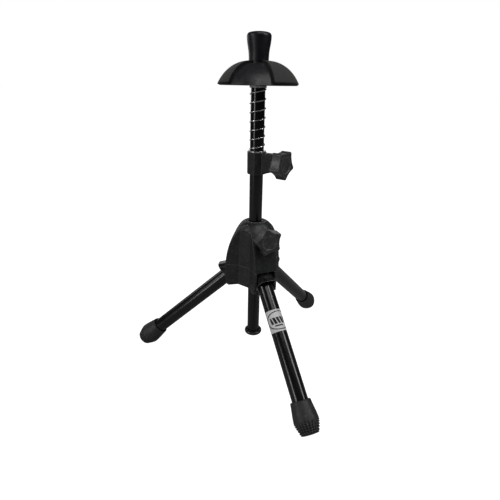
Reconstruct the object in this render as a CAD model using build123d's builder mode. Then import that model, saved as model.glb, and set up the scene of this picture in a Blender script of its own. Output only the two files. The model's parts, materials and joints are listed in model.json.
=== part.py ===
from build123d import *
from math import cos, radians, sin, tan
import os

# Folding trumpet stand: a sliding pole in a three-lobed hub with three folding legs, and a sprung
# umbrella near the top of the pole that carries the instrument's bell.
# The origin is on the floor below the pole, +Z is up, and the front leg points along -Y. Millimetres.

# ---- driving dimensions ----
pole_radius = 8.0
leg_radius = 9.5
tube_wall = 1.2
through = 80.0          # depth of a cut that goes right through
slide_gap = 0.06        # radial clearance of everything that slides or turns
fixed_gap = 0.03        # radial clearance of what is pressed or glued together
apex_z = 155.0          # height at which the three leg axes meet the pole's axis
leg_lean = 47.5         # degrees between an open leg and the pole
leg_azimuths = {"front": -90.0, "right": 30.0, "left": 150.0}
web_azimuths = (-30.0, 90.0, 210.0)

# ---- pole ----
pole_top_z = apex_z + 243.0
flange_top_z = apex_z - 115.5
flange_height = 5.0
flange_radius = 11.7
plug_length = 14.0
peg_bottom_z = apex_z + 221.6
peg_height = 28.3
peg_base_radius = 10.7
peg_head_radius = 13.0

# ---- hub ----
hub_top_z = apex_z + 44.1
parting_z = apex_z - 11.9
hub_bottom_z = apex_z - 41.0
lobe_half_width = 15.4  # at the foot of each lobe
lobe_top_half_width = 13.7
lobe_face = 35.6        # distance of each lobe's outer face at its foot
skirt_z = apex_z - 39.0  # lower edge of the hub between the lobes
ear_edge = 31.6         # distance of each lobe's lowest edge
slot_half_width = 12.2
slot_inner_x = 14.4
web_distance = 22.6     # distance of the flat webs between the lobes, at their lower edge
web_taper = 1.7
ring_radius = 13.3
bush_radius = 10.15
bush_bottom_z = parting_z + 0.5
bush_top_z = hub_top_z + 0.5
bush_slit = 1.6
relief_radius = 11.5    # wider mouth of the housing's bore
relief_depth = 4.0
pocket_mouth_x = 32.6   # outer wall of the hollow in each lobe, at its mouth and at the apex height
pocket_middle_x = 30.8
pocket_tops = {"front": (27.0, apex_z + 12.0), "right": (18.5, apex_z + 28.0), "left": (18.5, apex_z + 28.0)}
pivot_radius = 26.0     # distance of each leg's pivot from the pole's axis
pivot_pin_radius = 2.0
pivot_pin_half_length = 14.2
pivot_groove_gap = 0.1  # room round the tongues that keep the pins in their grooves
screw_circle = 17.4
screw_radius = 1.45
screw_head_radius = 2.9
screw_head_height = 2.0
screw_length = 18.0
screw_head_depth = 8.0  # depth of the head's seat below the parting face
screw_cross = (3.4, 0.7)
nut_flats = 10.0        # width across the flats of the clamp nut
nut_height = 5.0
nut_pocket_end = 17.5

# ---- clamp knobs ----
knob_radius = 16.6
knob_thickness = 12.5
knob_stem_radius = 6.0
knob_dish_radius = 9.0
bolt_head_radius = 5.0
bolt_head_depth = (3.0, 7.0)    # depths of the bolt head's two faces below the knob's face
flute_radius = 24.0
flute_depth = 4.0
bolt_radius = 3.0
hub_knob_face = 44.4    # distance of the hub knob's face from the pole's axis
hub_knob_z = apex_z + 30.6
hub_knob_turn = 69.0
hub_knob_stem = 3.6
shoe_radius = 3.5
shoe_end = 9.4          # distance of the clamp shoe's outer end from the pole's axis

# ---- clamp collar below the spring ----
collar_azimuth = -60.5
collar_bottom_z = apex_z + 103.0
collar_height = 25.2
collar_apothem = 10.6
nose_end = 24.0
insert_radius = 3.7
insert_length = 9.0
collar_knob_face = 41.2
collar_knob_z = apex_z + 117.0
collar_knob_turn = 19.0
collar_knob_stem = 4.4
washer_radius = 10.4
washer_thickness = 1.2

# ---- umbrella and spring ----
rim_z = apex_z + 198.5
crown_height = 21.7
crown_lip_radius = 10.1
umbrella_radius = 42.5
shell_thickness = 2.2
pad_thickness = 2.4
pad_arc = 59.7
pad_azimuths = (-64.6, 55.4, 175.4)
umbrella_bush_radius = 9.0
umbrella_bush_flange = 9.4
umbrella_bush_bottom_z = rim_z - 2.3
spring_wire_radius = 0.55
spring_coil_radius = 8.72
spring_turns = 6.7
spring_start = 110.0    # azimuth of the spring's lower end
end_gap = 0.05          # room at each end of the spring and of the umbrella's bush

# ---- legs, measured along the leg's axis from the apex ----
leg_tube_start = 29.0
leg_tube_end = 210.0
knuckle_radius = 11.2
hood_half_width = 11.3
hood_end = 46.8
hood_top = 19.0         # height of the hood's flat top above the leg's axis, at its outer end
hood_corner = 8.0
hood_slope = 16.0       # degrees that the hood's top falls outward
hood_wall = 1.7
recess_height = 17.0    # of the recess under the hood, round the tube
recess_depth = 8.0
foot_start = 184.0
foot_mouth_radius = 11.9
foot_widest = 206.0
foot_widest_radius = 14.5
foot_end = 219.3
foot_end_radius = 10.9
label_start = 79.5
label_end = 106.0
label_thickness = 0.15
label_gap = 6.0         # bare stretch of the tube between the label's two edges


def outward(azimuth):
    """Unit vector from the pole towards an azimuth."""
    return Vector(cos(radians(azimuth)), sin(radians(azimuth)), 0)


def sideways(azimuth):
    """Unit vector at right angles to outward, to the right of someone who looks at the pole."""
    return Vector(-sin(radians(azimuth)), cos(radians(azimuth)), 0)


def side_plane(azimuth):
    """Upright plane through the pole's axis: x is outward and y is up."""
    return Plane(origin=(0, 0, 0), x_dir=outward(azimuth), z_dir=-sideways(azimuth))


def face_plane(azimuth, distance, height):
    """Upright plane that faces outward: x is sideways and y is up."""
    origin = outward(azimuth) * distance + Vector(0, 0, height)
    return Plane(origin=origin, x_dir=sideways(azimuth), z_dir=outward(azimuth))


def leg_direction(azimuth):
    """Unit vector down an open leg."""
    lean = radians(leg_lean)
    return outward(azimuth) * sin(lean) + Vector(0, 0, -cos(lean))


def leg_plane(azimuth):
    """Upright plane through a leg: x runs down the leg from the apex, y is the leg's upper side."""
    return Plane(origin=(0, 0, apex_z), x_dir=leg_direction(azimuth), z_dir=-sideways(azimuth))


def leg_section(azimuth, station):
    """Plane across a leg at a station along it."""
    origin = Vector(0, 0, apex_z) + leg_direction(azimuth) * station
    return Plane(origin=origin, x_dir=sideways(azimuth), z_dir=leg_direction(azimuth))


def on_leg(radius, height):
    """Station along a leg and distance above its axis of a point of the leg's upright plane."""
    lean = radians(leg_lean)
    drop = apex_z - height
    return (radius * sin(lean) + drop * cos(lean), radius * cos(lean) - drop * sin(lean))


def save(builder, label):
    """Label a finished piece and write its STEP file."""
    builder.part.label = label
    export_step(builder.part, f"parts/{label}.step")


os.makedirs("parts", exist_ok=True)
pivot_z = apex_z - pivot_radius / tan(radians(leg_lean))
pivot_station = pivot_radius / sin(radians(leg_lean))


# ================ pole ================
with BuildPart() as pole_tube:
    with BuildSketch(Plane.XY.offset(flange_top_z)):
        Circle(pole_radius)
        Circle(pole_radius - tube_wall, mode=Mode.SUBTRACT)
    extrude(amount=pole_top_z - flange_top_z)
save(pole_tube, "pole_tube")

with BuildPart() as pole_end_cap:
    with BuildSketch(Plane.XY.offset(flange_top_z)):
        Circle(flange_radius)
    extrude(amount=-flange_height)
    fillet(pole_end_cap.edges().group_by(Axis.Z)[-1], 1.4)
    fillet(pole_end_cap.edges().group_by(Axis.Z)[0], 2.4)
    with BuildSketch(Plane.XY.offset(flange_top_z)):
        Circle(pole_radius - tube_wall - fixed_gap)
    extrude(amount=plug_length)
save(pole_end_cap, "pole_end_cap")

with BuildPart() as bell_peg:
    with BuildSketch(Plane.XZ):
        with BuildLine():
            base = (peg_base_radius, peg_bottom_z)
            head = (peg_head_radius, peg_bottom_z + peg_height * 0.83)
            dome_edge = (peg_head_radius - 1.8, peg_bottom_z + peg_height * 0.955)
            top = (0, peg_bottom_z + peg_height)
            Line((0, peg_bottom_z), base)
            Bezier(base, (base[0], base[1] + 14.0), (head[0] - 0.4, base[1] + 14.0), head)
            Bezier(head, (head[0], head[1] + 1.7), (dome_edge[0] + 1.1, dome_edge[1] - 0.6), dome_edge)
            Bezier(dome_edge, (dome_edge[0] - 2.7, top[1] - 0.14), (4.0, top[1]), top)
            Line(top, (0, peg_bottom_z))
        make_face()
    revolve(axis=Axis.Z)
    fillet(bell_peg.edges().group_by(Axis.Z)[0], 0.6)
    with BuildSketch(Plane.XY.offset(peg_bottom_z)):
        Circle(pole_radius + fixed_gap)
    extrude(amount=pole_top_z + fixed_gap - peg_bottom_z, mode=Mode.SUBTRACT)
save(bell_peg, "bell_peg")


# ================ hub ================
def lobe_form(azimuth):
    """One lobe: its curved outer edge in the side plane, as wide as the leg slot and its two walls."""
    with BuildPart() as lobe:
        with BuildSketch(side_plane(azimuth)):
            with BuildLine():
                shoulder = (ring_radius, hub_top_z)
                toe = (lobe_face, apex_z - 36.5)
                toe_corner = (lobe_face - 1.8, apex_z - 39.8)
                ear = (ear_edge, hub_bottom_z)
                skirt = (web_distance - 3.0, skirt_z)
                Bezier(shoulder, (23.5, apex_z + 37.5), (40.0, apex_z + 8.0), toe)
                Polyline(toe, toe_corner, ear, skirt, (0, skirt_z), (0, hub_top_z), shoulder)
            make_face()
        extrude(amount=lobe_half_width, both=True)
        # the lobe narrows towards the top
        with BuildSketch(face_plane(azimuth, 0, 0)):
            with BuildLine():
                Polyline(
                    (-lobe_half_width, hub_bottom_z), (lobe_half_width, hub_bottom_z),
                    (lobe_top_half_width, hub_top_z), (-lobe_top_half_width, hub_top_z), close=True,
                )
            make_face()
        extrude(amount=lobe_face + 1, mode=Mode.INTERSECT)
        long_edges = lobe.edges().filter_by(lambda edge: edge.length > 60 and edge.geom_type != GeomType.LINE)
        fillet(long_edges, 1.4)
    return lobe.part


def under_dome(shoulder_bend, hip_bend, hip):
    """Solid of revolution below a dome that starts at the top ring and ends in a cylinder at the hip."""
    shoulder = (ring_radius, hub_top_z)
    floor = hub_bottom_z - 10.0
    with BuildPart() as dome:
        with BuildSketch(Plane.XZ):
            with BuildLine():
                Bezier(shoulder, shoulder_bend, hip_bend, hip)
                Polyline(hip, (hip[0], floor), (0, floor), (0, hub_top_z), shoulder)
            make_face()
        revolve(axis=Axis.Z)
    return dome.part


# The core between the lobes is a three-sided prism that narrows upward under its own small dome.
with BuildPart() as hub_core:
    with BuildSketch(Plane.XY.offset(skirt_z)):
        RegularPolygon(web_distance, 3, major_radius=False, rotation=30)
    extrude(amount=hub_top_z - skirt_z, taper=web_taper)
    add(under_dome((16.5, apex_z + 42.5), (21.0, apex_z + 37.5), (26.0, apex_z + 24.0)), mode=Mode.INTERSECT)

with BuildPart() as hub_form:
    for azimuth in leg_azimuths.values():
        add(lobe_form(azimuth))
    add(under_dome((20.0, apex_z + 42.5), (33.0, apex_z + 26.0), (41.0, apex_z - 12.0)), mode=Mode.INTERSECT)
    add(hub_core.part)

with BuildPart() as leg_carrier:
    add(hub_form.part)
    split(bisect_by=Plane.XY.offset(parting_z), keep=Keep.BOTTOM)
    with BuildSketch(Plane.XY.offset(parting_z)):
        Circle(pole_radius + 0.6)
    extrude(amount=-through, mode=Mode.SUBTRACT)
    for azimuth in leg_azimuths.values():
        slot_plane = Plane(origin=(0, 0, parting_z), x_dir=outward(azimuth), z_dir=(0, 0, 1))
        with BuildSketch(slot_plane):
            with Locations((slot_inner_x, 0)):
                Rectangle(through, 2 * slot_half_width, align=(Align.MIN, Align.CENTER))
        extrude(amount=-through, mode=Mode.SUBTRACT)
        with BuildSketch(side_plane(azimuth)):
            with Locations((pivot_radius, pivot_z)):
                Circle(pivot_pin_radius + fixed_gap)
                Rectangle(2 * (pivot_pin_radius + fixed_gap), through, align=(Align.CENTER, Align.MIN))
        extrude(amount=pivot_pin_half_length + 0.1, both=True, mode=Mode.SUBTRACT)
    with BuildSketch(Plane.XY.offset(parting_z)):
        with PolarLocations(screw_circle, 3, start_angle=web_azimuths[0]):
            Circle(screw_radius + 0.25)
    extrude(amount=-through, mode=Mode.SUBTRACT)
    with BuildSketch(Plane.XY.offset(parting_z - screw_head_depth)):
        with PolarLocations(screw_circle, 3, start_angle=web_azimuths[0]):
            Circle(screw_head_radius + 0.2)
    extrude(amount=-through, mode=Mode.SUBTRACT)
save(leg_carrier, "leg_carrier")

with BuildPart() as hub_housing:
    add(hub_form.part)
    split(bisect_by=Plane.XY.offset(parting_z), keep=Keep.TOP)
    # tongues that reach down the carrier's grooves and keep the pivot pins seated
    for azimuth in leg_azimuths.values():
        for side in (-1, 1):
            tongue = Plane(origin=(0, 0, parting_z), x_dir=outward(azimuth), z_dir=(0, 0, 1))
            with BuildSketch(tongue):
                with Locations((pivot_radius, side * (slot_half_width + pivot_pin_half_length) / 2)):
                    Rectangle(
                        2 * pivot_pin_radius - pivot_groove_gap,
                        pivot_pin_half_length - slot_half_width - 2 * pivot_groove_gap,
                    )
            extrude(amount=-(parting_z - pivot_z - pivot_pin_radius - pivot_groove_gap))
    # bore for the bush, with a wider relief at its mouth
    with BuildSketch(Plane.XY.offset(parting_z)):
        Circle(bush_radius + fixed_gap)
    extrude(amount=through, mode=Mode.SUBTRACT)
    with BuildSketch(Plane.XY.offset(hub_top_z)):
        Circle(relief_radius)
    extrude(amount=-relief_depth, mode=Mode.SUBTRACT)
    # each lobe is hollow from below; the front one stays solid higher up, around its clamp nut
    for name, azimuth in leg_azimuths.items():
        mouth_z = parting_z - 0.01
        top_x, top_z = pocket_tops[name]
        with BuildSketch(side_plane(azimuth)):
            with BuildLine():
                Polyline(
                    (slot_inner_x, mouth_z), (pocket_mouth_x, mouth_z), (pocket_middle_x, apex_z),
                    (top_x, top_z), (slot_inner_x, top_z), close=True,
                )
            make_face()
        extrude(amount=slot_half_width, both=True, mode=Mode.SUBTRACT)
    with BuildSketch(Plane.XY.offset(parting_z)):
        with PolarLocations(screw_circle, 3, start_angle=web_azimuths[0]):
            Circle(screw_radius + 0.05)
    extrude(amount=screw_length - screw_head_depth + 2.0, mode=Mode.SUBTRACT)
    # clamp nut pocket and bolt passage
    with BuildSketch(face_plane(-90, 0, hub_knob_z)):
        Circle(bolt_radius + 0.4)
    extrude(amount=through, mode=Mode.SUBTRACT)
    with BuildSketch(face_plane(-90, bush_radius, hub_knob_z)):
        RegularPolygon(nut_flats / 2 + fixed_gap, 6, major_radius=False)
    extrude(amount=nut_pocket_end - bush_radius, mode=Mode.SUBTRACT)
save(hub_housing, "hub_housing")

with BuildPart() as hub_bush:
    with BuildSketch(Plane.XY.offset(bush_bottom_z)):
        Circle(bush_radius)
    extrude(amount=bush_top_z - bush_bottom_z)
    with BuildSketch(Plane.XY.offset(bush_bottom_z)):
        Circle(pole_radius + slide_gap)
    extrude(amount=bush_top_z - bush_bottom_z, mode=Mode.SUBTRACT)
    top_edges = hub_bush.edges().group_by(Axis.Z)[-1].sort_by(SortBy.RADIUS)
    chamfer(top_edges[-1], 0.4)
    chamfer(top_edges[0], 1.3)
    # slit that lets the bush close on the pole, and the window for the clamp shoe
    with BuildSketch(Plane.XY.offset(bush_bottom_z)):
        Rectangle(bush_slit, through, align=(Align.CENTER, Align.MIN))
    extrude(amount=bush_top_z - bush_bottom_z - 8.0, mode=Mode.SUBTRACT)
    with BuildSketch(face_plane(-90, 0, hub_knob_z)):
        Circle(shoe_radius + 0.1)
    extrude(amount=through, mode=Mode.SUBTRACT)
save(hub_bush, "hub_bush")

with BuildPart() as hub_clamp_shoe:
    with BuildSketch(face_plane(-90, 0, hub_knob_z)):
        Circle(shoe_radius)
    extrude(amount=shoe_end)
    with BuildSketch(Plane.XY.offset(hub_knob_z)):
        Circle(pole_radius + slide_gap)
    extrude(amount=through, both=True, mode=Mode.SUBTRACT)
save(hub_clamp_shoe, "hub_clamp_shoe")

with BuildPart() as hub_clamp_nut:
    with BuildSketch(face_plane(-90, nut_pocket_end - nut_height - 0.15, hub_knob_z)):
        RegularPolygon(nut_flats / 2, 6, major_radius=False)
        Circle(bolt_radius + slide_gap, mode=Mode.SUBTRACT)
    extrude(amount=nut_height)
save(hub_clamp_nut, "hub_clamp_nut")

with BuildPart() as hub_screws:
    with BuildSketch(Plane.XY.offset(parting_z - screw_head_depth)):
        with PolarLocations(screw_circle, 3, start_angle=web_azimuths[0]):
            Circle(screw_head_radius)
    extrude(amount=-screw_head_height)
    with BuildSketch(Plane.XY.offset(parting_z - screw_head_depth)):
        with PolarLocations(screw_circle, 3, start_angle=web_azimuths[0]):
            Circle(screw_radius)
    extrude(amount=screw_length)
    # cross recess in each head
    with BuildSketch(Plane.XY.offset(parting_z - screw_head_depth - screw_head_height)):
        with PolarLocations(screw_circle, 3, start_angle=web_azimuths[0]):
            Rectangle(screw_cross[0], screw_cross[1])
            Rectangle(screw_cross[1], screw_cross[0])
    extrude(amount=1.2, mode=Mode.SUBTRACT)
save(hub_screws, "hub_screws")

for name, azimuth in leg_azimuths.items():
    with BuildPart() as leg_pin:
        with BuildSketch(side_plane(azimuth)):
            with Locations((pivot_radius, pivot_z)):
                Circle(pivot_pin_radius)
        extrude(amount=pivot_pin_half_length, both=True)
        chamfer(leg_pin.edges(), 0.3)
    save(leg_pin, f"leg_pin_{name}")


# ================ clamp knobs ================
def clamp_bolt(face, tip_depth):
    """Bolt along the knob's axis: a round head held in the knob and a plain shank to its tip."""
    head_front, head_back = bolt_head_depth
    with BuildPart() as bolt:
        with BuildSketch(face.offset(-head_front)):
            Circle(bolt_head_radius)
        extrude(amount=head_front - head_back)
        with BuildSketch(face.offset(-head_back)):
            Circle(bolt_radius)
        extrude(amount=head_back - tip_depth)
        chamfer(bolt.edges().sort_by_distance(face.origin)[-1], 0.5)
    return bolt


def star_knob(face, turn, stem, bolt):
    """Five-lobed knob below its face plane, with a round stem behind it."""
    with BuildPart() as knob:
        with BuildSketch(face):
            Circle(knob_radius)
            with PolarLocations(knob_radius + flute_radius - flute_depth, 5, start_angle=turn):
                Circle(flute_radius, mode=Mode.SUBTRACT)
        extrude(amount=-knob_thickness)
        fillet(knob.edges().filter_by(Axis(face.origin, face.z_dir)), 1.3)
        fillet(knob.faces().sort_by(Axis(face.origin, face.z_dir))[-1].edges(), 1.0)
        fillet(knob.faces().sort_by(Axis(face.origin, face.z_dir))[0].edges(), 1.0)
        with BuildSketch(face.offset(-knob_thickness)):
            Circle(knob_stem_radius)
        extrude(amount=-stem)
        # shallow dish in the face
        with BuildSketch(face):
            Circle(knob_dish_radius)
        extrude(amount=-0.5, taper=45, mode=Mode.SUBTRACT)
        add(bolt.part, mode=Mode.SUBTRACT)
    return knob


hub_face = face_plane(-90, hub_knob_face, hub_knob_z)
hub_knob_bolt = clamp_bolt(hub_face, hub_knob_face - shoe_end - 0.1)
hub_star_knob = star_knob(hub_face, hub_knob_turn, hub_knob_stem, hub_knob_bolt)
save(hub_knob_bolt, "hub_knob_bolt")
save(hub_star_knob, "hub_star_knob")

collar_face = face_plane(collar_azimuth, collar_knob_face, collar_knob_z)
collar_knob_bolt = clamp_bolt(collar_face, collar_knob_face - pole_radius - 0.15)
collar_star_knob = star_knob(collar_face, collar_knob_turn, collar_knob_stem, collar_knob_bolt)
save(collar_knob_bolt, "collar_knob_bolt")
save(collar_star_knob, "collar_star_knob")


# ================ collar ================
with BuildPart() as collar_body:
    with BuildSketch(Plane.XY.offset(collar_bottom_z)):
        RegularPolygon(collar_apothem, 8, major_radius=False, rotation=collar_azimuth + 22.5)
    extrude(amount=collar_height)
    # nose with a level top, which rises underneath towards the knob and holds the threaded insert
    nose_top_z = collar_bottom_z + collar_height - 0.3
    for distance, width, height in ((collar_apothem - 1.0, 8.6, 24.6), (nose_end, 10.0, 20.4)):
        with BuildSketch(face_plane(collar_azimuth, distance, nose_top_z)):
            RectangleRounded(width, height, 1.5, align=(Align.CENTER, Align.MAX))
    loft()
    with BuildSketch(Plane.XY.offset(collar_bottom_z)):
        Circle(pole_radius + slide_gap)
    extrude(amount=collar_height, mode=Mode.SUBTRACT)
    with BuildSketch(face_plane(collar_azimuth, 0, collar_knob_z)):
        Circle(insert_radius + fixed_gap)
    extrude(amount=through, mode=Mode.SUBTRACT)
save(collar_body, "collar_body")

with BuildPart() as collar_insert:
    with BuildSketch(face_plane(collar_azimuth, nose_end - insert_length, collar_knob_z)):
        Circle(insert_radius)
        Circle(bolt_radius + slide_gap, mode=Mode.SUBTRACT)
    extrude(amount=insert_length)
save(collar_insert, "collar_insert")

with BuildPart() as spring_washer:
    with BuildSketch(Plane.XY.offset(collar_bottom_z + collar_height)):
        Circle(washer_radius)
        Circle(pole_radius + slide_gap, mode=Mode.SUBTRACT)
    extrude(amount=washer_thickness)
    fillet(spring_washer.edges().filter_by(GeomType.CIRCLE).group_by(SortBy.RADIUS)[-1], 0.35)
save(spring_washer, "spring_washer")


# ================ spring and umbrella ================
spring_bottom_z = collar_bottom_z + collar_height + washer_thickness + spring_wire_radius + end_gap
spring_top_z = umbrella_bush_bottom_z - spring_wire_radius - end_gap
coil = Rot(0, 0, spring_start) * Helix(
    pitch=(spring_top_z - spring_bottom_z) / spring_turns,
    height=spring_top_z - spring_bottom_z,
    radius=spring_coil_radius,
    center=(0, 0, spring_bottom_z),
)
with BuildPart() as spring:
    with BuildSketch(Plane(origin=coil @ 0, z_dir=coil % 0)):
        Circle(spring_wire_radius)
    sweep(path=coil, is_frenet=True)
save(spring, "spring")

with BuildPart() as umbrella_bush:
    with BuildSketch(Plane.XY.offset(umbrella_bush_bottom_z)):
        Circle(umbrella_bush_radius)
    extrude(amount=rim_z + crown_height - umbrella_bush_bottom_z)
    with BuildSketch(Plane.XY.offset(umbrella_bush_bottom_z)):
        Circle(umbrella_bush_flange)
    extrude(amount=2.0)
    with BuildSketch(Plane.XY.offset(umbrella_bush_bottom_z)):
        Circle(pole_radius + slide_gap)
    extrude(amount=through, mode=Mode.SUBTRACT)
save(umbrella_bush, "umbrella_bush")

sleeve_radius = umbrella_bush_radius + 2.2
sleeve_bore = umbrella_bush_radius + slide_gap
crown_z = rim_z + crown_height
lip_z = peg_bottom_z - end_gap
crown = (sleeve_radius, crown_z)
rim = (umbrella_radius, rim_z)
shell_bend_high = (22.8, rim_z + 21.4)
shell_bend_low = (35.2, rim_z + 14.8)
with BuildPart() as bell_umbrella:
    with BuildSketch(Plane.XZ):
        with BuildLine():
            inner_rim = (umbrella_radius - shell_thickness, rim_z)
            inner_bend_low = (33.4, rim_z + 13.4)
            inner_bend_high = (22.0, rim_z + 19.3)
            inner_crown = (sleeve_radius, crown_z - shell_thickness)
            Bezier(crown, shell_bend_high, shell_bend_low, rim)
            Line(rim, inner_rim)
            Bezier(inner_rim, inner_bend_low, inner_bend_high, inner_crown)
            # the sleeve round the bush ends in a lip below the peg
            Polyline(
                inner_crown, (sleeve_radius, rim_z), (sleeve_bore, rim_z), (sleeve_bore, lip_z),
                (crown_lip_radius, lip_z), (crown_lip_radius, crown_z), crown,
            )
        make_face()
    revolve(axis=Axis.Z)
save(bell_umbrella, "bell_umbrella")

for number, azimuth in enumerate(pad_azimuths, start=1):
    with BuildPart() as bell_pad:
        with BuildSketch(side_plane(azimuth - pad_arc / 2)):
            with BuildLine():
                outer_top = (sleeve_radius + 1.0, crown_z + pad_thickness)
                outer_rim = (umbrella_radius + pad_thickness, rim_z + 0.3)
                Line(crown, outer_top)
                Bezier(outer_top, (24.3, rim_z + 24.0), (37.4, rim_z + 16.6), outer_rim)
                Line(outer_rim, rim)
                Bezier(rim, shell_bend_low, shell_bend_high, crown)
            make_face()
        revolve(axis=Axis.Z, revolution_arc=pad_arc)
    save(bell_pad, f"bell_pad_{number}")


# ================ legs ================
def leg_tube_part(azimuth):
    """Steel tube from inside the knuckle to inside the rubber foot, drilled for the pivot pin."""
    with BuildPart() as tube:
        with BuildSketch(leg_section(azimuth, leg_tube_start)):
            Circle(leg_radius)
            Circle(leg_radius - tube_wall, mode=Mode.SUBTRACT)
        extrude(amount=leg_tube_end - leg_tube_start)
        with BuildSketch(side_plane(azimuth)):
            with Locations((pivot_radius, pivot_z)):
                Circle(pivot_pin_radius + slide_gap)
        extrude(amount=through, both=True, mode=Mode.SUBTRACT)
    return tube


def knuckle_part(azimuth):
    """Pivot knuckle around the tube's upper end, with an arched hood over the tube."""
    slope = radians(hood_slope)
    inward = outward(azimuth) * -cos(slope) + Vector(0, 0, sin(slope))
    pivot_top_z = pivot_z + knuckle_radius
    with BuildPart() as knuckle:
        with BuildSketch(leg_plane(azimuth)):
            with Locations((pivot_station, 0)):
                Circle(knuckle_radius)
            with BuildLine():
                Polyline(
                    on_leg(pivot_radius, pivot_top_z), on_leg(lobe_face, pivot_top_z),
                    (hood_end, hood_top + 4.0), (hood_end, -knuckle_radius), (pivot_station, -knuckle_radius),
                    close=True,
                )
            make_face()
        extrude(amount=hood_half_width, both=True)
        with BuildSketch(leg_section(azimuth, hood_end)):
            with Locations((0, hood_top)):
                RectangleRounded(2 * hood_half_width, through, hood_corner, align=(Align.CENTER, Align.MAX))
        extrude(amount=through, dir=inward, mode=Mode.INTERSECT)
        # bore for the tube, opening into a recess under the hood
        with BuildSketch(leg_section(azimuth, leg_tube_start - 15.0)):
            Circle(leg_radius + fixed_gap)
        extrude(amount=through, mode=Mode.SUBTRACT)
        with BuildSketch(leg_section(azimuth, hood_end)):
            with Locations((0, hood_top - hood_wall)):
                recess_width = 2 * (hood_half_width - hood_wall)
                recess_corner = hood_corner - hood_wall
                RectangleRounded(recess_width, recess_height, recess_corner, align=(Align.CENTER, Align.MAX))
        extrude(amount=recess_depth, dir=inward, mode=Mode.SUBTRACT)
        with BuildSketch(side_plane(azimuth)):
            with Locations((pivot_radius, pivot_z)):
                Circle(pivot_pin_radius + slide_gap)
        extrude(amount=through, both=True, mode=Mode.SUBTRACT)
    return knuckle


def foot_part(azimuth):
    """Rubber boot, widest at its middle, worn flat where it meets the floor."""
    axis = Axis((0, 0, apex_z), leg_direction(azimuth))
    with BuildPart() as foot:
        with BuildSketch(leg_plane(azimuth)):
            with BuildLine():
                bore = leg_radius + fixed_gap
                floor_end = leg_tube_end + 0.2
                lip = (foot_start, foot_mouth_radius - 0.7)
                mouth = (foot_start + 0.8, foot_mouth_radius)
                widest = (foot_widest, foot_widest_radius)
                tread_end = (foot_end - 1.0, foot_end_radius)
                sole = (foot_end, foot_end_radius - 1.2)
                Polyline((foot_start, bore), lip, mouth)
                Bezier(mouth, (foot_start + 9.0, 12.8), (foot_widest - 6.0, 14.3), widest)
                Bezier(widest, (foot_widest + 3.0, 14.6), (foot_end - 6.0, foot_end_radius + 1.5), tread_end)
                Bezier(tread_end, (foot_end - 0.1, foot_end_radius - 0.3), sole)
                Polyline(sole, (foot_end, 0), (floor_end, 0), (floor_end, bore), (foot_start, bore))
            make_face()
        revolve(axis=axis)
        split(bisect_by=Plane.XY, keep=Keep.TOP)
    return foot


for name, azimuth in leg_azimuths.items():
    save(leg_tube_part(azimuth), f"leg_tube_{name}")
    save(knuckle_part(azimuth), f"leg_knuckle_{name}")
    save(foot_part(azimuth), f"leg_foot_{name}")

with BuildPart() as leg_label:
    with BuildSketch(leg_section(leg_azimuths["front"], label_start)):
        Circle(leg_radius + label_thickness)
        Circle(leg_radius + 0.02, mode=Mode.SUBTRACT)
        with Locations((0, -leg_radius)):
            Rectangle(label_gap, label_gap, mode=Mode.SUBTRACT)
    extrude(amount=label_end - label_start)
save(leg_label, "leg_label")
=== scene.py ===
"""Looks of a folding trumpet stand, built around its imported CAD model.

Metres, in the CAD model's frame: the origin is on the floor below the pole, +Z is up and the front
leg points along -Y.
"""
import json
import math

import bpy
from mathutils import Matrix, Vector


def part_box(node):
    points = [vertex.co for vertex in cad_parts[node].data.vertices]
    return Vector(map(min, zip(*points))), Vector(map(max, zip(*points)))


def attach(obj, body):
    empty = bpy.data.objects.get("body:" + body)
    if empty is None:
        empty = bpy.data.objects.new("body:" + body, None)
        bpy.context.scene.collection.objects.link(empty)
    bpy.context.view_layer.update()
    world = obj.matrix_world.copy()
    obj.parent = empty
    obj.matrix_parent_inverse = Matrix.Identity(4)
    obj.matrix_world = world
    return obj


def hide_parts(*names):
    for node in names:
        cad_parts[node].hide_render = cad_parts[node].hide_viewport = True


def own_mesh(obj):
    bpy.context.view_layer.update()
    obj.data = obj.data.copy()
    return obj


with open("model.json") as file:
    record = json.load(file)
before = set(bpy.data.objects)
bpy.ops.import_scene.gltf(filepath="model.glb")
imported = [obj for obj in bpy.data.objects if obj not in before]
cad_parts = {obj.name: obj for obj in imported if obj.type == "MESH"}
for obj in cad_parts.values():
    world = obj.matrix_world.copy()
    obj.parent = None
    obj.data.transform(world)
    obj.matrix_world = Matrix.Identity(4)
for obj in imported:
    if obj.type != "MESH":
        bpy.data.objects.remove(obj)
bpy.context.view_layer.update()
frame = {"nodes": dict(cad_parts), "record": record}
nodes = frame["nodes"]

# ---- sizes shared with the CAD model, in metres ----
MM = 0.001
APEX_Z = 0.155              # height at which the leg axes meet the pole's axis
LEG_LEAN = math.radians(47.5)
LEG_AZIMUTHS = {"front": -90.0, "right": 30.0, "left": 150.0}
LEG_RADIUS = 0.0095
RIM_Z = APEX_Z + 0.1985
SHELL_CROWN = (11.2 * MM, 21.7 * MM)        # radius and height above the rim
SHELL_HANDLES = ((22.8 * MM, 21.4 * MM), (35.2 * MM, 14.8 * MM))
SHELL_RIM = (42.5 * MM, 0.0)
PARTING_Z = APEX_Z - 0.0119


# ================ helpers for vectors and curves ================
def outward(azimuth):
    """Unit vector from the pole towards an azimuth in degrees."""
    angle = math.radians(azimuth)
    return Vector((math.cos(angle), math.sin(angle), 0))


def sideways(azimuth):
    """Unit vector at right angles to outward."""
    angle = math.radians(azimuth)
    return Vector((-math.sin(angle), math.cos(angle), 0))


def leg_frame(azimuth):
    """The unit vectors down an open leg, across it, and to its upper side."""
    down = outward(azimuth) * math.sin(LEG_LEAN) + Vector((0, 0, -math.cos(LEG_LEAN)))
    across = sideways(azimuth)
    return down, across, down.cross(across)


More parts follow.
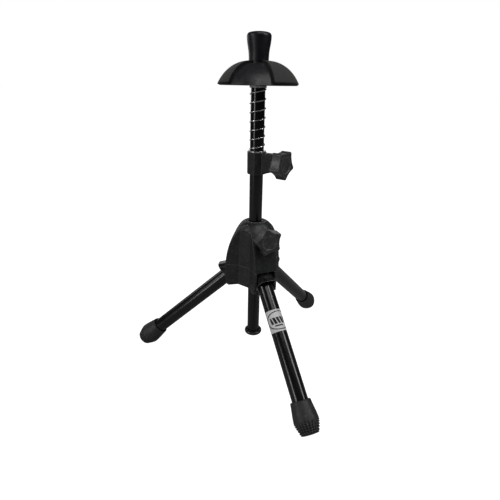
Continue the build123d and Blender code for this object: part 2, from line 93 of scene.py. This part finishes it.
def bezier(points, count):
    """Points along a cubic Bezier in the plane."""
    curve = []
    for step in range(count + 1):
        t = step / count
        weights = ((1 - t) ** 3, 3 * t * (1 - t) ** 2, 3 * t * t * (1 - t), t ** 3)
        curve.append(tuple(sum(w * p[axis] for w, p in zip(weights, points)) for axis in (0, 1)))
    return curve


def smooth_step(value):
    """0 below 0, 1 above 1, and a smooth ramp between."""
    t = min(max(value, 0.0), 1.0)
    return t * t * (3 - 2 * t)


def new_piece(name, vertices, faces):
    """A smooth-shaded mesh object."""
    mesh = bpy.data.meshes.new(name)
    mesh.from_pydata(vertices, [], faces)
    mesh.shade_smooth()
    mesh.update()
    piece = bpy.data.objects.new(name, mesh)
    bpy.context.scene.collection.objects.link(piece)
    return piece


def ring_faces(ring_count, segments, closed_ends=False):
    """Quads between neighbouring rings of vertices, and one face over each end if closed."""
    faces = []
    for ring in range(ring_count - 1):
        for k in range(segments):
            k_next = (k + 1) % segments
            low, high = ring * segments, (ring + 1) * segments
            faces.append((low + k, low + k_next, high + k_next, high + k))
    if closed_ends:
        last = (ring_count - 1) * segments
        faces.append(tuple(reversed(range(segments))))
        faces.append(tuple(last + k for k in range(segments)))
    return faces


# ================ materials ================
EDGE_RADIUS = 1.1 * MM      # how far a moulded edge looks rounded
BEVEL_SAMPLES = 6


class Paint:
    """A Principled material and short ways to wire procedural detail into it."""

    def __init__(self, name, color, roughness, metallic=0.0):
        self.material = bpy.data.materials.new(name)
        self.material.use_nodes = True
        self.tree = self.material.node_tree
        self.shader = self.tree.nodes["Principled BSDF"]
        self.shader.inputs["Base Color"].default_value = (*color, 1)
        self.shader.inputs["Roughness"].default_value = roughness
        self.shader.inputs["Metallic"].default_value = metallic
        self.material.diffuse_color = (*color, 1)
        self.coordinates = self.tree.nodes.new("ShaderNodeTexCoord")
        self.normal = None

    def link(self, source, target):
        self.tree.links.new(source, target)

    def noise(self, size, detail=3.0, roughness=0.55):
        """Noise whose features are about size metres across."""
        mapping = self.tree.nodes.new("ShaderNodeMapping")
        mapping.inputs["Scale"].default_value = [1 / size] * 3
        texture = self.tree.nodes.new("ShaderNodeTexNoise")
        texture.inputs["Scale"].default_value = 1.0
        texture.inputs["Detail"].default_value = detail
        texture.inputs["Roughness"].default_value = roughness
        self.link(self.coordinates.outputs["Object"], mapping.inputs["Vector"])
        self.link(mapping.outputs["Vector"], texture.inputs["Vector"])
        return texture.outputs["Fac"]

    def ramp(self, source, low, high, start=0.35, end=0.65):
        """Maps a source to values from low to high; they are numbers or colours."""
        if isinstance(low, tuple):
            ramp = self.tree.nodes.new("ShaderNodeValToRGB")
            ramp.color_ramp.elements[0].position = start
            ramp.color_ramp.elements[1].position = end
            ramp.color_ramp.elements[0].color = (*low, 1)
            ramp.color_ramp.elements[1].color = (*high, 1)
            self.link(source, ramp.inputs["Fac"])
            return ramp.outputs["Color"]
        ramp = self.tree.nodes.new("ShaderNodeMapRange")
        ramp.inputs["From Min"].default_value = start
        ramp.inputs["From Max"].default_value = end
        ramp.inputs["To Min"].default_value = low
        ramp.inputs["To Max"].default_value = high
        self.link(source, ramp.inputs["Value"])
        return ramp.outputs["Result"]

    def mix_color(self, factor, first, second):
        """The first colour where factor is 0 and the second where it is 1; either may be a socket."""
        mix = self.tree.nodes.new("ShaderNodeMix")
        mix.data_type = "RGBA"
        sockets = [s for s in mix.inputs if s.type == "RGBA"]
        self.link(factor, mix.inputs["Factor"])
        for socket, color in zip(sockets, (first, second)):
            if isinstance(color, tuple):
                socket.default_value = (*color, 1)
            else:
                self.link(color, socket)
        return [s for s in mix.outputs if s.type == "RGBA"][0]

    def math(self, operation, *values):
        """A math node on sockets and numbers."""
        node = self.tree.nodes.new("ShaderNodeMath")
        node.operation = operation
        for socket, value in zip(node.inputs, values):
            if isinstance(value, (int, float)):
                socket.default_value = value
            else:
                self.link(value, socket)
        return node.outputs["Value"]

    def near(self, value, middle, reach):
        """1 where the value is less than reach from the middle, else 0."""
        away = self.math("ABSOLUTE", self.math("SUBTRACT", value, middle))
        return self.math("LESS_THAN", away, reach)

    def attribute(self, name):
        """Socket with one of the mesh's attributes."""
        node = self.tree.nodes.new("ShaderNodeAttribute")
        node.attribute_name = name
        return node.outputs["Fac"]

    def split(self, vector):
        """The three parts of a vector socket."""
        node = self.tree.nodes.new("ShaderNodeSeparateXYZ")
        self.link(vector, node.inputs["Vector"])
        return node.outputs["X"], node.outputs["Y"], node.outputs["Z"]

    def rounded_edges(self, radius):
        """Softens sharp edges under the light and gives a mask that is 1 on them."""
        bevel = self.tree.nodes.new("ShaderNodeBevel")
        bevel.samples = BEVEL_SAMPLES
        bevel.inputs["Radius"].default_value = radius
        geometry = self.tree.nodes.new("ShaderNodeNewGeometry")
        match = self.tree.nodes.new("ShaderNodeVectorMath")
        match.operation = "DOT_PRODUCT"
        self.link(bevel.outputs["Normal"], match.inputs[0])
        self.link(geometry.outputs["Normal"], match.inputs[1])
        self.normal = bevel.outputs["Normal"]
        return self.ramp(match.outputs["Value"], 1.0, 0.0, 0.90, 0.995)

    def bump(self, height, distance):
        """Adds a layer of relief, distance metres high, on top of the layers before it."""
        bump = self.tree.nodes.new("ShaderNodeBump")
        bump.inputs["Distance"].default_value = distance
        self.link(height, bump.inputs["Height"])
        if self.normal is not None:
            self.link(self.normal, bump.inputs["Normal"])
        self.normal = bump.outputs["Normal"]
        self.link(self.normal, self.shader.inputs["Normal"])

    def set(self, socket, value):
        """Links a socket, or sets a plain value, on the shader."""
        target = self.shader.inputs[socket]
        if isinstance(value, bpy.types.NodeSocket):
            self.link(value, target)
        else:
            target.default_value = value


def moulded_plastic(name, color, roughness, grain, relief, wear_and_edge_highlight=0.0, specular=0.5):
    """Moulded black plastic: fine spark-eroded grain and faint cloudiness, with softened edges, lighter
    scuffs in random patches, and a painted highlight that lightens the colour along its edges."""
    paint = Paint(name, color, roughness)
    paint.set("Specular IOR Level", specular)
    lighter = tuple(c * 1.3 for c in color)
    darker = tuple(c * 0.8 for c in color)
    # lighter colour, used both for the random scuffs and for the painted highlight along the edges
    scuffed_and_highlit_color = tuple(c * 3 + 0.1 for c in color)
    clouds = paint.noise(14 * MM, detail=4)
    base = paint.ramp(clouds, darker, lighter, 0.3, 0.7)
    if wear_and_edge_highlight:
        edges = paint.rounded_edges(EDGE_RADIUS)
        scuffs = paint.ramp(paint.noise(3.5 * MM, detail=8, roughness=0.7), 0.0, wear_and_edge_highlight, 0.52, 0.72)
        # painted highlight: the colour is lightened along the moulded edges, where light would catch them
        painted_edge_highlight = paint.math("MULTIPLY", edges, paint.ramp(paint.noise(2.5 * MM, detail=6), 0.6, 1.0))
        scuff_and_highlight_mask = paint.math("MINIMUM", paint.math("ADD", scuffs, painted_edge_highlight), 1.0)
        base = paint.mix_color(scuff_and_highlight_mask, base, scuffed_and_highlit_color)
    paint.set("Base Color", base)
    paint.set("Roughness", paint.ramp(paint.noise(5 * MM, detail=5), roughness - 0.06, roughness + 0.08))
    paint.bump(paint.noise(grain, detail=2), relief)
    return paint


def enamel():
    """Gloss black enamel on steel tube, a little uneven in gloss and depth."""
    paint = Paint("black_enamel", (0.003, 0.003, 0.0033), 0.2)
    paint.set("Roughness", paint.ramp(paint.noise(12 * MM, detail=2), 0.18, 0.23))
    depth = paint.ramp(paint.noise(20 * MM), (0.0025, 0.0025, 0.0028), (0.0045, 0.0045, 0.005))
    paint.set("Base Color", depth)
    paint.set("Specular IOR Level", 0.4)
    return paint


def metal(name, color, roughness):
    """Bare or plated metal with fine tool marks and uneven polish."""
    paint = Paint(name, color, roughness, metallic=1.0)
    marks = paint.noise(0.5 * MM, detail=4)
    tarnished = tuple(c * 0.82 for c in color)
    paint.set("Roughness", paint.ramp(marks, roughness * 0.7, roughness * 1.5))
    paint.set("Base Color", paint.ramp(paint.noise(3 * MM, detail=5), tarnished, color))
    paint.bump(marks, 0.01 * MM)
    return paint


def foam():
    """Closed-cell foam pad: dull, with open pinholes and a felted surface, and painted shade that makes its
    edges near black.
    The piece's attribute named edge is 1 on its side walls and 0 on its face."""
    paint = Paint("pad_foam", (0.03, 0.03, 0.029), 0.92)
    cells = paint.noise(0.55 * MM, detail=5, roughness=0.75)
    patches = paint.noise(7 * MM, detail=5)
    fine = paint.ramp(cells, (0.012, 0.012, 0.0115), (0.062, 0.060, 0.058), 0.3, 0.72)
    face = paint.mix_color(paint.ramp(patches, 0.0, 0.55), fine, (0.034, 0.033, 0.032))
    edge = paint.attribute("edge")
    # painted shade: near black where the attribute named edge is 1
    paint.set("Base Color", paint.mix_color(edge, face, (0.0025, 0.0025, 0.0025)))
    paint.set("Sheen Weight", 0.08)
    paint.set("Sheen Roughness", 0.6)
    paint.set("Specular IOR Level", paint.ramp(edge, 0.25, 0.03, 0.0, 1.0))
    paint.bump(cells, 0.16 * MM)
    paint.bump(paint.noise(2.2 * MM, detail=3), 0.12 * MM)
    return paint


OVAL_HALF_SIZE = (17.5 * MM, 10.8 * MM)
OVAL_LINE = 0.05            # half its line's width, as a share of the oval's size
BAR_PITCH = 4.4 * MM
BAR_HALF_WIDTH = 1.65 * MM
BAR_HALF_HEIGHT = 3.9 * MM
BAR_SLANT = 0.3             # distance sideways for each unit along the tube
BARS_HALF_WIDTH = 12.5 * MM
RULE_MIDDLE = (3 * MM, 6.2 * MM)
RULE_HALF_SIZE = (5 * MM, 0.8 * MM)


def label_film():
    """Silver film with a printed oval, a plain row of slanted bars and a short rule; no lettering.
    The piece's UV map holds the distance round the tube and along it from the label's middle, in metres."""
    paint = Paint("label_film", (0.5, 0.5, 0.5), 0.34)
    uv = paint.tree.nodes.new("ShaderNodeUVMap")
    uv.uv_map = "label"
    across, along, _ = paint.split(uv.outputs["UV"])

    # oval outline
    x = paint.math("DIVIDE", across, OVAL_HALF_SIZE[0])
    y = paint.math("DIVIDE", along, OVAL_HALF_SIZE[1])
    reach = paint.math("SQRT", paint.math("ADD", paint.math("MULTIPLY", x, x), paint.math("MULTIPLY", y, y)))
    ring = paint.near(reach, 1.0, OVAL_LINE)

    # row of bold slanted bars along the oval's middle
    slanted = paint.math("ADD", across, paint.math("MULTIPLY", along, BAR_SLANT))
    bar = paint.near(paint.math("FLOORED_MODULO", slanted, BAR_PITCH), BAR_PITCH / 2, BAR_HALF_WIDTH)
    row_height = paint.near(along, 0.0, BAR_HALF_HEIGHT)
    row_width = paint.near(across, 0.0, BARS_HALF_WIDTH)
    bars = paint.math("MULTIPLY", bar, paint.math("MULTIPLY", row_height, row_width))

    # short rule below them
    rule_width = paint.near(across, RULE_MIDDLE[0], RULE_HALF_SIZE[0])
    rule_height = paint.near(along, RULE_MIDDLE[1], RULE_HALF_SIZE[1])
    rule = paint.math("MULTIPLY", rule_width, rule_height)
    ink = paint.math("MAXIMUM", ring, paint.math("MAXIMUM", bars, rule))

    mottle = paint.noise(1.1 * MM, detail=5, roughness=0.7)
    film = paint.ramp(mottle, (0.45, 0.45, 0.45), (0.85, 0.85, 0.84), 0.3, 0.7)
    paint.set("Base Color", paint.mix_color(ink, film, (0.002, 0.002, 0.003)))
    paint.set("Roughness", paint.ramp(paint.noise(2 * MM), 0.4, 0.5))
    paint.set("Specular IOR Level", 0.3)
    paint.bump(paint.noise(2.5 * MM, detail=2), 0.02 * MM)
    return paint


def hub_plastic():
    """The hub's plastic, with the fine groove where its two halves meet."""
    paint = moulded_plastic(
        "hub_plastic", (0.015, 0.0158, 0.0162), 0.42,
        grain=0.35 * MM, relief=0.02 * MM, wear_and_edge_highlight=0.25, specular=0.3,
    )
    _, _, height = paint.split(paint.coordinates.outputs["Object"])
    distance = paint.math("ABSOLUTE", paint.math("SUBTRACT", height, PARTING_Z))
    groove_half_width, groove_depth = 0.35 * MM, 0.12 * MM
    paint.bump(paint.ramp(distance, 0.0, 1.0, 0.0, groove_half_width), groove_depth)
    return paint


def foot_rubber():
    """Soft black rubber, with painted shade making it near black in the grooves, where the piece's attribute
    named groove is 1.
    """
    paint = moulded_plastic(
        "foot_rubber", (0.016, 0.016, 0.017), 0.52, grain=0.5 * MM, relief=0.03 * MM, wear_and_edge_highlight=0.3, specular=0.4
    )
    surface = paint.shader.inputs["Base Color"].links[0].from_socket
    # painted shade: the grooves between the nubs are mixed to near black
    paint.set("Base Color", paint.mix_color(paint.attribute("groove"), surface, (0.001, 0.001, 0.001)))
    return paint


PAINTS = {
    "black_enamel_steel": enamel(),
    "gloss_plastic_cap": moulded_plastic(
        "cap_plastic", (0.011, 0.011, 0.011), 0.26, grain=1.0 * MM, relief=0.008 * MM
    ),
    "peg_rubber": moulded_plastic(
        "peg_rubber", (0.005, 0.005, 0.008), 0.38, grain=0.6 * MM, relief=0.012 * MM, specular=0.3
    ),
    "hub_plastic": hub_plastic(),
    "bush_nylon": moulded_plastic(
        "bush_nylon", (0.03, 0.03, 0.03), 0.35, grain=0.4 * MM, relief=0.015 * MM, wear_and_edge_highlight=0.4
    ),
    "brass": metal("brass", (0.70, 0.50, 0.22), 0.28),
    "zinc_steel": metal("zinc_steel", (0.62, 0.63, 0.64), 0.3),
    "knob_plastic": moulded_plastic(
        "knob_plastic", (0.016, 0.016, 0.0158), 0.38,
        grain=0.45 * MM, relief=0.05 * MM, wear_and_edge_highlight=0.5, specular=0.6,
    ),
    "collar_plastic": moulded_plastic(
        "collar_plastic", (0.011, 0.0115, 0.0125), 0.42,
        grain=0.4 * MM, relief=0.02 * MM, wear_and_edge_highlight=0.2, specular=0.3,
    ),
    "spring_steel": metal("spring_steel", (0.78, 0.77, 0.75), 0.22),
    "bush_grey": moulded_plastic(
        "bush_grey", (0.36, 0.37, 0.39), 0.4, grain=0.5 * MM, relief=0.01 * MM
    ),
    "umbrella_plastic": moulded_plastic(
        "umbrella_plastic", (0.012, 0.0125, 0.0145), 0.38, grain=0.5 * MM, relief=0.008 * MM, specular=0.4
    ),
    "pad_foam": foam(),
    "label_film": label_film(),
    "knuckle_plastic": moulded_plastic(
        "knuckle_plastic", (0.006, 0.006, 0.0062), 0.24, grain=1.2 * MM, relief=0.004 * MM, wear_and_edge_highlight=0.3
    ),
    "foot_rubber": foot_rubber(),
}

for entry in frame["record"]["subparts"]:
    mesh = nodes[entry["node"]].data
    mesh.materials.clear()
    mesh.materials.append(PAINTS[entry["material_slot"]].material)


def dress(piece, material_slot, body, *replaced):
    """Gives a new piece its material, the body it rides on and the CAD nodes it stands for."""
    piece.data.materials.append(PAINTS[material_slot].material)
    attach(piece, body)
    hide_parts(*replaced)


# ================ rubber feet ================
FOOT_START = 184 * MM       # stations are distances down the leg from where its axis meets the pole's
FOOT_WIDEST = 206 * MM
FOOT_END = 219.3 * MM
FOOT_MOUTH_RADIUS = 11.9 * MM
FOOT_WIDEST_RADIUS = 14.5 * MM
FOOT_END_RADIUS = 10.9 * MM
FOOT_BORE_DEPTH = 9 * MM
FOOT_SIDE_STEPS = 18
NUB_ROWS = 5
NUB_COLUMNS = 24
NUB_DEPTH = 0.9 * MM
GROOVE_HALF_WIDTH = 0.10    # in nub pitches, as is the width of a nub's sloping side
NUB_SLOPE = 0.14
NUB_STEPS = 7               # mesh steps across one nub and its groove


def nub_height(row, column):
    """0 in the grooves and 1 on the nubs, for positions counted in nub pitches."""
    height = 1.0
    for position in (row, column):
        to_groove = min(position % 1, 1 - position % 1)
        height *= smooth_step((to_groove - GROOVE_HALF_WIDTH) / NUB_SLOPE)
    return height


def foot_profile():
    """(station, radius, nub row or None) from inside the bore, over the outside, to the sole's middle."""
    bore = LEG_RADIUS + 0.05 * MM
    mouth = (FOOT_START + 0.8 * MM, FOOT_MOUTH_RADIUS)
    widest = (FOOT_WIDEST, FOOT_WIDEST_RADIUS)
    tread_end = (FOOT_END - 1.0 * MM, FOOT_END_RADIUS)
    inside = [
        (FOOT_START + FOOT_BORE_DEPTH, bore),
        (FOOT_START + 0.5 * MM, bore),
        (FOOT_START, bore + 0.4 * MM),
        (FOOT_START, FOOT_MOUTH_RADIUS - 1.0 * MM),
        (FOOT_START + 0.2 * MM, FOOT_MOUTH_RADIUS - 0.5 * MM),
    ]
    side_handles = ((FOOT_START + 9 * MM, 12.8 * MM), (FOOT_WIDEST - 6 * MM, 14.3 * MM))
    side = bezier((mouth, *side_handles, widest), FOOT_SIDE_STEPS)
    tread_handles = ((FOOT_WIDEST + 3 * MM, 14.6 * MM), (FOOT_END - 6 * MM, FOOT_END_RADIUS + 1.5 * MM))
    tread_steps = NUB_ROWS * NUB_STEPS
    tread = bezier((widest, *tread_handles, tread_end), tread_steps)
    sole = [
        (FOOT_END - 0.5 * MM, FOOT_END_RADIUS - 0.3 * MM),
        (FOOT_END - 0.12 * MM, FOOT_END_RADIUS - 0.8 * MM),
        (FOOT_END, FOOT_END_RADIUS - 1.5 * MM),
        (FOOT_END, 5 * MM),
        (FOOT_END, 0.2 * MM),
    ]
    profile = [(station, radius, None) for station, radius in inside + side]
    for step in range(1, tread_steps + 1):
        profile.append((*tread[step], NUB_ROWS * step / tread_steps))
    return profile + [(station, radius, None) for station, radius in sole]


def make_foot(name, azimuth):
    """Rubber boot with rows of square nubs on its tapered end, abraded flat where it meets the floor."""
    down, across, upper = leg_frame(azimuth)
    segments = NUB_COLUMNS * NUB_STEPS
    vertices, grooves = [], []
    profile = foot_profile()
    for station, radius, row in profile:
        for k in range(segments):
            groove = 0.0
            if row is not None:
                groove = 1 - nub_height(row, k / NUB_STEPS)
            angle = 2 * math.pi * k / segments
            around = across * math.cos(angle) + upper * math.sin(angle)
            point = Vector((0, 0, APEX_Z)) + down * station + around * (radius - NUB_DEPTH * groove)
            point.z = max(point.z, 0.0)
            vertices.append(point)
            grooves.append(groove)
    foot = new_piece(f"foot_{name}", vertices, ring_faces(len(profile), segments))
    foot.data.attributes.new("groove", "FLOAT", "POINT").data.foreach_set("value", grooves)
    dress(foot, "foot_rubber", f"leg_{name}", f"leg_foot_{name}")


for leg_name, leg_azimuth in LEG_AZIMUTHS.items():
    make_foot(leg_name, leg_azimuth)


# ================ bell pads ================
PAD_AZIMUTHS = (-64.6, 55.4, 175.4)
PAD_HALF_ARC = math.radians(29.8)
PAD_THICKNESS = 2.3 * MM
PAD_WALL = 0.6              # share of the thickness that its side walls have
PAD_EDGE = 0.7 * MM         # radius of the pad's rounded edges
PAD_SHADE_BAND = 2.9 * MM         # width of the band of painted shade along its edges
PAD_CORNER = 3.4 * MM       # radius of the lower corners of its outline
PAD_GAP = 0.05 * MM         # between the pad and the shell
PAD_COLUMNS = 44
PAD_ROWS = 40


def end_spacing(share):
    """Evenly spaced shares from 0 to 1, moved towards the two ends."""
    return (1 - math.cos(math.pi * share)) / 2


def pad_profile():
    """(radius, height) down the umbrella's shell, closely spaced at its ends, and the distance along it."""
    count = 8 * PAD_ROWS
    shell = bezier((SHELL_CROWN, *SHELL_HANDLES, SHELL_RIM), count)
    points = [shell[round(count * end_spacing(row / PAD_ROWS))] for row in range(PAD_ROWS + 1)]
    distances = [0.0]
    for first, second in zip(points, points[1:]):
        distances.append(distances[-1] + math.dist(first, second))
    return points, distances


def round_over(distance, radius):
    """Height from 0 to 1 of a rounded edge, at a distance in from the outline."""
    t = min(max(distance / radius, 0.0), 1.0)
    return math.sqrt(1 - (1 - t) ** 2)


def pad_half_width(radius, to_rim):
    """Half the pad's width at one row, less near its rounded lower corners."""
    corner = max(PAD_CORNER - to_rim, 0.0)
    inset = PAD_CORNER - math.sqrt(PAD_CORNER ** 2 - corner ** 2)
    return radius * PAD_HALF_ARC - inset


def pad_layers(azimuth):
    """Vertices of the pad's outer and inner faces, row by row, and each outer one's share of painted shade
    along its edges.
    """
    points, distances = pad_profile()
    length = distances[-1]
    inner, outer, edges = [], [], []
    for row, (radius, height) in enumerate(points):
        before = points[max(row - 1, 0)]
        after = points[min(row + 1, PAD_ROWS)]
        slope = math.atan2(after[1] - before[1], after[0] - before[0])
        normal = (-math.sin(slope), math.cos(slope))
        from_end = min(distances[row], length - distances[row])
        half_width = pad_half_width(radius, length - distances[row])
        for column in range(PAD_COLUMNS + 1):
            u = 2 * end_spacing(column / PAD_COLUMNS) - 1
            from_edge = min(from_end, (1 - abs(u)) * half_width)
            lift = PAD_THICKNESS * (PAD_WALL + (1 - PAD_WALL) * round_over(from_edge, PAD_EDGE))
            # share of painted shade: full within half the band from the outline, fading out over the other
            # half
            edges.append(1 - smooth_step((from_edge - 0.5 * PAD_SHADE_BAND) / (0.5 * PAD_SHADE_BAND)))
            angle = u * half_width / radius
            for layer, offset in ((inner, PAD_GAP), (outer, PAD_GAP + lift)):
                reach = radius + normal[0] * offset
                layer.append(
                    outward(azimuth) * (reach * math.cos(angle))
                    + sideways(azimuth) * (reach * math.sin(angle))
                    + Vector((0, 0, RIM_Z + height + normal[1] * offset))
                )
    return outer, inner, edges


def pad_faces():
    """Quads of the outer and inner faces and of the side walls between them."""
    columns = PAD_COLUMNS + 1
    count = columns * (PAD_ROWS + 1)
    faces = []
    for row in range(PAD_ROWS):
        for column in range(PAD_COLUMNS):
            corner = row * columns + column
            quad = (corner, corner + columns, corner + columns + 1, corner + 1)
            faces.append(quad)
            faces.append(tuple(count + k for k in reversed(quad)))
    border = (
        [k for k in range(columns)]
        + [row * columns + PAD_COLUMNS for row in range(1, PAD_ROWS + 1)]
        + [PAD_ROWS * columns + k for k in range(PAD_COLUMNS - 1, -1, -1)]
        + [row * columns for row in range(PAD_ROWS - 1, 0, -1)]
    )
    for first, second in zip(border, border[1:] + border[:1]):
        faces.append((first, second, count + second, count + first))
    return faces


def make_pad(number, azimuth):
    """Foam pad on the umbrella's shell, with rounded edges and rounded lower corners."""
    outer, inner, edges = pad_layers(azimuth)
    pad = new_piece(f"pad_{number}", outer + inner, pad_faces())
    edge = pad.data.attributes.new("edge", "FLOAT", "POINT")
    # painted shade: the inner face, and so the side walls, are fully near black
    edge.data.foreach_set("value", edges + [1.0] * len(inner))
    dress(pad, "pad_foam", "umbrella", f"bell_pad_{number}")


for pad_number, pad_azimuth in enumerate(PAD_AZIMUTHS, start=1):
    make_pad(pad_number, pad_azimuth)


# ================ spring ================
SPRING_RADIUS = 8.72 * MM
WIRE_RADIUS = 0.55 * MM
SPRING_TURNS = 6.7
SPRING_START = 110.0        # azimuth of its lower end
SPRING_STEPS = 340
WIRE_SEGMENTS = 12


def tube_along(name, path, radius, segments):
    """A round bar along a path of points, with flat ends."""
    vertices = []
    upright = Vector((0, 0, 1))
    for k, point in enumerate(path):
        ahead = (path[min(k + 1, len(path) - 1)] - path[max(k - 1, 0)]).normalized()
        side = ahead.cross(upright).normalized()
        rise = side.cross(ahead)
        for step in range(segments):
            angle = 2 * math.pi * step / segments
            vertices.append(point + (side * math.cos(angle) + rise * math.sin(angle)) * radius)
    return new_piece(name, vertices, ring_faces(len(path), segments, closed_ends=True))


def make_spring():
    """Coil spring between the collar's washer and the umbrella's bush."""
    low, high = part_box("spring")
    bottom = low.z + WIRE_RADIUS
    height = high.z - low.z - 2 * WIRE_RADIUS
    path = []
    for k in range(SPRING_STEPS + 1):
        t = k / SPRING_STEPS
        azimuth = SPRING_START + 360 * SPRING_TURNS * t
        path.append(outward(azimuth) * SPRING_RADIUS + Vector((0, 0, bottom + height * t)))
    spring = tube_along("coil_spring", path, WIRE_RADIUS, WIRE_SEGMENTS)
    dress(spring, "spring_steel", "collar", "spring")
    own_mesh(spring)


make_spring()


# ================ leg label ================
LABEL_START = 79.5 * MM
LABEL_END = 106 * MM
LABEL_RADIUS = LEG_RADIUS + 0.12 * MM
LABEL_HALF_WRAP = math.radians(150)
LABEL_MIDDLE = math.radians(78)     # angle of its middle round the tube, from across towards the upper side
LABEL_CORNER = 1.5 * MM
LABEL_COLUMNS = 96
LABEL_ROWS = 24


def make_label():
    """Thin film wrapped round the front leg, with rounded corners and a UV map in metres."""
    down, across, upper = leg_frame(LEG_AZIMUTHS["front"])
    half_length = (LABEL_END - LABEL_START) / 2
    middle = Vector((0, 0, APEX_Z)) + down * (LABEL_START + half_length)
    vertices, places = [], []
    for row in range(LABEL_ROWS + 1):
        along = half_length * (2 * row / LABEL_ROWS - 1)
        near_end = max(LABEL_CORNER - (half_length - abs(along)), 0.0)
        inset = LABEL_CORNER - math.sqrt(max(LABEL_CORNER ** 2 - near_end ** 2, 0.0))
        reach = LABEL_HALF_WRAP * LABEL_RADIUS - inset
        for column in range(LABEL_COLUMNS + 1):
            around = reach * (2 * column / LABEL_COLUMNS - 1)
            angle = LABEL_MIDDLE + around / LABEL_RADIUS
            side = across * math.cos(angle) + upper * math.sin(angle)
            vertices.append(middle + down * along + side * LABEL_RADIUS)
            places.append((around, along))
    faces = []
    for row in range(LABEL_ROWS):
        for column in range(LABEL_COLUMNS):
            first = row * (LABEL_COLUMNS + 1) + column
            faces.append((first, first + 1, first + LABEL_COLUMNS + 2, first + LABEL_COLUMNS + 1))
    label = new_piece("label", vertices, faces)
    layer = label.data.uv_layers.new(name="label")
    for loop in label.data.loops:
        layer.data[loop.index].uv = places[loop.vertex_index]
    dress(label, "label_film", "leg_front", "leg_label")


make_label()


# ================ floor, light and camera ================
FLOOR_HALF = 40.0
FLOOR_GLOW = 1.0            # how bright the camera sees it; it lights nothing
LIGHT_DISTANCE = 1.6
LIGHT_TARGET = Vector((0, 0, 0.2))


def seen_and_felt(tree, seen, felt):
    """Socket with one strength for what is seen directly and one for what lights the stand."""
    path = tree.nodes.new("ShaderNodeLightPath")
    level = tree.nodes.new("ShaderNodeMapRange")
    level.inputs["To Min"].default_value = felt
    level.inputs["To Max"].default_value = seen
    tree.links.new(path.outputs["Is Camera Ray"], level.inputs["Value"])
    return level.outputs["Result"]


def make_floor():
    """Plain pale floor under the feet, as white to the camera as the surroundings."""
    corners = [(FLOOR_HALF * x, FLOOR_HALF * y, 0) for x, y in ((-1, -1), (1, -1), (1, 1), (-1, 1))]
    floor = new_piece("floor", corners, [(0, 1, 2, 3)])
    paint = Paint("floor", (0.4, 0.4, 0.4), 0.8)
    paint.set("Specular IOR Level", 0.0)
    paint.set("Emission Color", (1, 1, 1, 1))
    paint.set("Emission Strength", seen_and_felt(paint.tree, FLOOR_GLOW, 0.0))
    floor.data.materials.append(paint.material)


def soft_box(name, azimuth, elevation, size, power):
    """Area light that faces the middle of the stand from one direction."""
    rise = math.radians(elevation)
    direction = outward(azimuth) * math.cos(rise) + Vector((0, 0, math.sin(rise)))
    data = bpy.data.lights.new(name, "AREA")
    data.shape = "RECTANGLE"
    data.size, data.size_y = size
    data.energy = power
    light = bpy.data.objects.new(name, data)
    light.location = LIGHT_TARGET + direction * LIGHT_DISTANCE
    light.rotation_euler = (-direction).to_track_quat("-Z", "Y").to_euler()
    light.visible_camera = False
    bpy.context.scene.collection.objects.link(light)


def make_sky(seen, felt):
    """Even pale surroundings."""
    world = bpy.data.worlds.new("studio")
    world.use_nodes = True
    tree = world.node_tree
    tree.links.new(seen_and_felt(tree, seen, felt), tree.nodes["Background"].inputs["Strength"])
    tree.nodes["Background"].inputs["Color"].default_value = (1, 1, 1, 1)
    bpy.context.scene.world = world


CAMERA_AZIMUTH = -113.52    # direction of the camera from the pole
CAMERA_DISTANCE = 0.452     # level distance from the pole's axis
CAMERA_Z = APEX_Z + 0.1955
CAMERA_YAW = 0.77           # degrees that it looks left of the pole
CAMERA_PITCH = 22.96
CAMERA_ROLL = 0.92
CAMERA_LENS = 27.47


def make_camera():
    """Camera that looks down a little on the stand from its front left."""
    data = bpy.data.cameras.new("camera")
    data.lens = CAMERA_LENS
    data.sensor_width = 36
    data.clip_start = 0.01
    camera = bpy.data.objects.new("camera", data)
    place = outward(CAMERA_AZIMUTH) * CAMERA_DISTANCE
    heading = CAMERA_AZIMUTH + 180 + CAMERA_YAW
    turn = Matrix.Rotation(math.radians(heading - 90), 4, "Z")
    tilt = Matrix.Rotation(math.radians(90 - CAMERA_PITCH), 4, "X")
    roll = Matrix.Rotation(math.radians(CAMERA_ROLL), 4, "Z")
    camera.matrix_world = Matrix.Translation((place.x, place.y, CAMERA_Z)) @ turn @ tilt @ roll
    bpy.context.scene.collection.objects.link(camera)
    bpy.context.scene.camera = camera


make_floor()
make_sky(seen=1.0, felt=0.05)
soft_box("overhead", azimuth=-100, elevation=66, size=(0.9, 0.7), power=6)
soft_box("left", azimuth=178, elevation=28, size=(0.3, 0.9), power=6)
soft_box("low_left", azimuth=-165, elevation=4, size=(0.25, 0.5), power=3)
soft_box("back", azimuth=90, elevation=12, size=(2.6, 0.5), power=5)
soft_box("right", azimuth=-42, elevation=44, size=(0.28, 1.2), power=11)
make_camera()
bpy.context.scene.view_settings.view_transform = "Standard"
